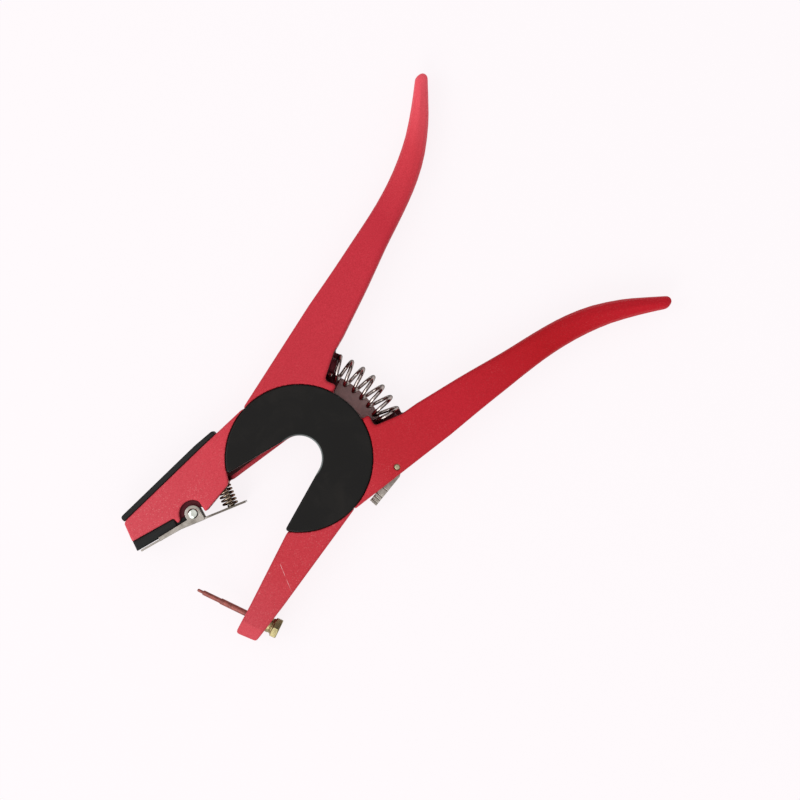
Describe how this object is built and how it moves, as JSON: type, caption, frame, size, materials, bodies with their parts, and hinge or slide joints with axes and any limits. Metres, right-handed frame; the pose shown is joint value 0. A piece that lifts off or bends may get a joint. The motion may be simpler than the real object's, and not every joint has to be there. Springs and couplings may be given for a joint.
{
  "type": "ear tag applicator",
  "caption": "Plier-style ear tag applicator: crossing red arms turn about an open horseshoe hub, with a pin in one jaw and a sprung clip over a pad in the other.",
  "frame": {"origin": "on the flat rear face of the rear cover, on the tool's centre line, 20 mm from the hub axis towards the handles", "axes": "+X towards the handles, +Y towards the handle of the pin arm, +Z out of the front face, along the hub axis"},
  "size_m": [0.2292, 0.1436, 0.0163],
  "materials": {
    "red_powder_coat": "textured red powder coat on cast metal",
    "black_moulding": "smooth black moulded plastic with a low sheen",
    "black_rubber": "dull black rubber",
    "brown_fibre": "dull brown bearing fibre",
    "plated_steel": "plain plated steel",
    "bright_steel": "bright plated sheet steel",
    "grey_steel": "dull plated sheet steel",
    "nickel_wire": "bright nickel-plated spring wire",
    "yellow_plated_steel": "brass with a yellow-green cast, satin",
    "brown_painted_steel": "red-brown painted steel"
  },
  "bodies": {
    "clip_arm": {"clip_arm": "red_powder_coat", "rear_cover": "black_moulding", "slide_washer": "brown_fibre", "anvil_pad": "black_rubber", "outer_strip": "black_rubber", "clip_rivet": "bright_steel", "clip_spring": "nickel_wire", "lock_pin": "yellow_plated_steel", "handle_spring": "nickel_wire"},
    "pin_arm": {"pin_arm": "red_powder_coat", "front_cover": "black_moulding", "hub_rivet_1": "plated_steel", "hub_rivet_2": "plated_steel", "hub_rivet_3": "plated_steel", "applicator_pin": "brown_painted_steel", "pin_gland_nut": "yellow_plated_steel"},
    "clip_lever": {"clip_lever": "bright_steel"},
    "lock_lever": {"lock_lever": "grey_steel"}
  },
  "joints": [
    {"name": "arm_hinge", "type": "hinge", "parent": "clip_arm", "child": "pin_arm", "pos_m": [-0.02, 0, 0.008], "axis": [0, 0, -1], "range_deg": [0, 30], "stiffness_Nm_per_rad": 2, "springref_deg": -8.59, "deforming": ["handle_spring"]},
    {"name": "clip_hinge", "type": "hinge", "parent": "clip_arm", "child": "clip_lever", "pos_m": [-0.067, 0.0172, 0.008], "axis": [0, 0, 1], "range_deg": [0, 12], "stiffness_Nm_per_rad": 0.15, "springref_deg": -11.46, "deforming": ["clip_spring"]},
    {"name": "lock_hinge", "type": "hinge", "parent": "clip_arm", "child": "lock_lever", "pos_m": [0.0049, -0.0327, 0.008], "axis": [0, 0, 1], "range_deg": [0, 35]}
  ]
}
